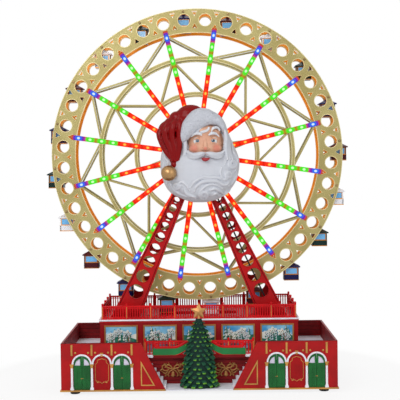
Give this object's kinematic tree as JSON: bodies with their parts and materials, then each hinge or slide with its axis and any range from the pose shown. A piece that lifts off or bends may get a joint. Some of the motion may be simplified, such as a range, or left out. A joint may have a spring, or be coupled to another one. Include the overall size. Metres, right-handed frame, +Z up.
{
  "type": "musical christmas ferris wheel",
  "caption": "Tabletop musical ferris wheel: pierced gold wheel with light spokes and hanging cabins on red legs, bearded head at the hub, over a red and white winter base.",
  "frame": {"origin": "middle of the ground under the base, on the soles of the feet", "axes": "+X to the viewer's right, +Y from the front to the back along the wheel's axle, +Z up"},
  "size_m": [0.6216, 0.278, 0.7597],
  "materials": {
    "base_white": "fine texture",
    "foot_rubber": "matt",
    "wall_red": "satin paint",
    "door_green": "satin paint",
    "column_white": "satin paint",
    "trim_gold": "metallic paint",
    "deep_red": "satin paint",
    "snow_white": "matt",
    "deck_red": "satin paint",
    "picture_print": "printed inlay in a gold frame",
    "rail_red": "satin paint",
    "banner_green": "satin paint",
    "fir_green": "matt with light tips",
    "star_gold": "metallic paint",
    "rim_gold": "metallic paint",
    "light_strip": "clear lens over coloured lights",
    "pin_brown": "satin",
    "axle_steel": "bright",
    "bush_plastic": "natural",
    "ring_copper": "bright",
    "gear_plastic": "natural",
    "pinion_brass": "bright",
    "motor_steel": "plated",
    "leg_red": "satin paint",
    "loom_black": "soft insulation",
    "beard_white": "hand painted",
    "cap_red": "hand painted",
    "fur_white": "textured",
    "bauble_brass": "metallic paint",
    "board_green": "laminate",
    "speaker_black": "matt",
    "control_black": "satin",
    "cabin_navy": "satin paint",
    "cabin_maroon": "satin paint",
    "cabin_white": "satin paint",
    "cabin_green": "satin paint"
  },
  "bodies": {
    "base": {"base_plate": "base_white", "feet": "foot_rubber", "facades": "wall_red", "doors": "door_green", "arcade_columns": "column_white", "gold_trim": "trim_gold", "lower_walls": "deep_red", "courtyard_steps": "snow_white", "terrace_floor": "snow_white", "house_walls": "deep_red", "upper_deck": "deck_red", "picture_panels": "picture_print", "railings": "rail_red", "banner": "banner_green", "tree": "fir_green", "tree_star": "star_gold", "axle_bushes": "bush_plastic", "motor": "motor_steel", "rear_housing": "leg_red", "leg_front_right": "leg_red", "leg_front_left": "leg_red", "leg_rear_right": "leg_red", "leg_rear_left": "leg_red", "wire_loom": "loom_black", "head_and_beard": "beard_white", "cap": "cap_red", "cap_fur_band": "fur_white", "cap_bauble": "bauble_brass", "circuit_board": "board_green", "speaker": "speaker_black"},
    "wheel": {"wheel_frame_front": "rim_gold", "wheel_frame_rear": "rim_gold", "led_spokes": "light_strip", "cabin_pins": "pin_brown", "axle": "axle_steel", "slip_ring": "ring_copper", "drive_gear": "gear_plastic"},
    "cabin_01": {"cabin_01": "cabin_navy"},
    "cabin_02": {"cabin_02": "cabin_maroon"},
    "cabin_03": {"cabin_03": "cabin_white"},
    "cabin_04": {"cabin_04": "cabin_green"},
    "cabin_05": {"cabin_05": "cabin_navy"},
    "cabin_06": {"cabin_06": "cabin_maroon"},
    "cabin_07": {"cabin_07": "cabin_white"},
    "cabin_08": {"cabin_08": "cabin_green"},
    "cabin_09": {"cabin_09": "cabin_navy"},
    "cabin_10": {"cabin_10": "cabin_maroon"},
    "cabin_11": {"cabin_11": "cabin_white"},
    "cabin_12": {"cabin_12": "cabin_green"},
    "cabin_13": {"cabin_13": "cabin_navy"},
    "cabin_14": {"cabin_14": "cabin_maroon"},
    "cabin_15": {"cabin_15": "cabin_white"},
    "cabin_16": {"cabin_16": "cabin_green"},
    "cabin_17": {"cabin_17": "cabin_navy"},
    "cabin_18": {"cabin_18": "cabin_maroon"},
    "cabin_19": {"cabin_19": "cabin_white"},
    "cabin_20": {"cabin_20": "cabin_green"},
    "pinion": {"motor_pinion": "pinion_brass"},
    "button": {"power_button": "control_black"},
    "knob": {"volume_knob": "control_black"}
  },
  "joints": [
    {"name": "wheel_spin", "type": "hinge", "parent": "base", "child": "wheel", "pos_m": [0, 0.05, 0.461], "axis": [0, 1, 0], "continuous": true},
    {"name": "pinion_spin", "type": "hinge", "parent": "base", "child": "pinion", "pos_m": [0, 0.12, 0.42725], "axis": [0, 1, 0], "continuous": true},
    {"name": "button_press", "type": "slide", "parent": "base", "child": "button", "axis": [0, -1, 0], "range_m": [0, 0.002], "stiffness_N_per_m": 400},
    {"name": "knob_turn", "type": "hinge", "parent": "base", "child": "knob", "pos_m": [-0.06, 0.135, 0.044], "axis": [0, 1, 0], "range_deg": [-135, 135]},
    {"name": "cabin_01_swing", "type": "hinge", "parent": "wheel", "child": "cabin_01", "pos_m": [-0.02509, 0.05, 0.75363], "axis": [0, 1, 0], "continuous": true},
    {"name": "cabin_02_swing", "type": "hinge", "parent": "wheel", "child": "cabin_02", "pos_m": [0.06657, 0.05, 0.74706], "axis": [0, 1, 0], "continuous": true},
    {"name": "cabin_03_swing", "type": "hinge", "parent": "wheel", "child": "cabin_03", "pos_m": [0.15171, 0.05, 0.71249], "axis": [0, 1, 0], "continuous": true},
    {"name": "cabin_04_swing", "type": "hinge", "parent": "wheel", "child": "cabin_04", "pos_m": [0.22199, 0.05, 0.6533], "axis": [0, 1, 0], "continuous": true},
    {"name": "cabin_05_swing", "type": "hinge", "parent": "wheel", "child": "cabin_05", "pos_m": [0.27055, 0.05, 0.57529], "axis": [0, 1, 0], "continuous": true},
    {"name": "cabin_06_swing", "type": "hinge", "parent": "wheel", "child": "cabin_06", "pos_m": [0.29263, 0.05, 0.48609], "axis": [0, 1, 0], "continuous": true},
    {"name": "cabin_07_swing", "type": "hinge", "parent": "wheel", "child": "cabin_07", "pos_m": [0.28606, 0.05, 0.39443], "axis": [0, 1, 0], "continuous": true},
    {"name": "cabin_08_swing", "type": "hinge", "parent": "wheel", "child": "cabin_08", "pos_m": [0.25149, 0.05, 0.30929], "axis": [0, 1, 0], "continuous": true},
    {"name": "cabin_09_swing", "type": "hinge", "parent": "wheel", "child": "cabin_09", "pos_m": [0.1923, 0.05, 0.23901], "axis": [0, 1, 0], "continuous": true},
    {"name": "cabin_10_swing", "type": "hinge", "parent": "wheel", "child": "cabin_10", "pos_m": [0.11429, 0.05, 0.19045], "axis": [0, 1, 0], "continuous": true},
    {"name": "cabin_11_swing", "type": "hinge", "parent": "wheel", "child": "cabin_11", "pos_m": [0.02509, 0.05, 0.16837], "axis": [0, 1, 0], "continuous": true},
    {"name": "cabin_12_swing", "type": "hinge", "parent": "wheel", "child": "cabin_12", "pos_m": [-0.06657, 0.05, 0.17494], "axis": [0, 1, 0], "continuous": true},
    {"name": "cabin_13_swing", "type": "hinge", "parent": "wheel", "child": "cabin_13", "pos_m": [-0.15171, 0.05, 0.20951], "axis": [0, 1, 0], "continuous": true},
    {"name": "cabin_14_swing", "type": "hinge", "parent": "wheel", "child": "cabin_14", "pos_m": [-0.22199, 0.05, 0.2687], "axis": [0, 1, 0], "continuous": true},
    {"name": "cabin_15_swing", "type": "hinge", "parent": "wheel", "child": "cabin_15", "pos_m": [-0.27055, 0.05, 0.34671], "axis": [0, 1, 0], "continuous": true},
    {"name": "cabin_16_swing", "type": "hinge", "parent": "wheel", "child": "cabin_16", "pos_m": [-0.29263, 0.05, 0.43591], "axis": [0, 1, 0], "continuous": true},
    {"name": "cabin_17_swing", "type": "hinge", "parent": "wheel", "child": "cabin_17", "pos_m": [-0.28606, 0.05, 0.52757], "axis": [0, 1, 0], "continuous": true},
    {"name": "cabin_18_swing", "type": "hinge", "parent": "wheel", "child": "cabin_18", "pos_m": [-0.25149, 0.05, 0.61271], "axis": [0, 1, 0], "continuous": true},
    {"name": "cabin_19_swing", "type": "hinge", "parent": "wheel", "child": "cabin_19", "pos_m": [-0.1923, 0.05, 0.68299], "axis": [0, 1, 0], "continuous": true},
    {"name": "cabin_20_swing", "type": "hinge", "parent": "wheel", "child": "cabin_20", "pos_m": [-0.11429, 0.05, 0.73155], "axis": [0, 1, 0], "continuous": true}
  ],
  "couplings": [
    {"joint": "pinion_spin", "follows": "wheel_spin", "ratio": -2},
    {"joint": "cabin_01_swing", "follows": "wheel_spin", "ratio": -1},
    {"joint": "cabin_02_swing", "follows": "wheel_spin", "ratio": -1},
    {"joint": "cabin_03_swing", "follows": "wheel_spin", "ratio": -1},
    {"joint": "cabin_04_swing", "follows": "wheel_spin", "ratio": -1},
    {"joint": "cabin_05_swing", "follows": "wheel_spin", "ratio": -1},
    {"joint": "cabin_06_swing", "follows": "wheel_spin", "ratio": -1},
    {"joint": "cabin_07_swing", "follows": "wheel_spin", "ratio": -1},
    {"joint": "cabin_08_swing", "follows": "wheel_spin", "ratio": -1},
    {"joint": "cabin_09_swing", "follows": "wheel_spin", "ratio": -1},
    {"joint": "cabin_10_swing", "follows": "wheel_spin", "ratio": -1},
    {"joint": "cabin_11_swing", "follows": "wheel_spin", "ratio": -1},
    {"joint": "cabin_12_swing", "follows": "wheel_spin", "ratio": -1},
    {"joint": "cabin_13_swing", "follows": "wheel_spin", "ratio": -1},
    {"joint": "cabin_14_swing", "follows": "wheel_spin", "ratio": -1},
    {"joint": "cabin_15_swing", "follows": "wheel_spin", "ratio": -1},
    {"joint": "cabin_16_swing", "follows": "wheel_spin", "ratio": -1},
    {"joint": "cabin_17_swing", "follows": "wheel_spin", "ratio": -1},
    {"joint": "cabin_18_swing", "follows": "wheel_spin", "ratio": -1},
    {"joint": "cabin_19_swing", "follows": "wheel_spin", "ratio": -1},
    {"joint": "cabin_20_swing", "follows": "wheel_spin", "ratio": -1}
  ]
}
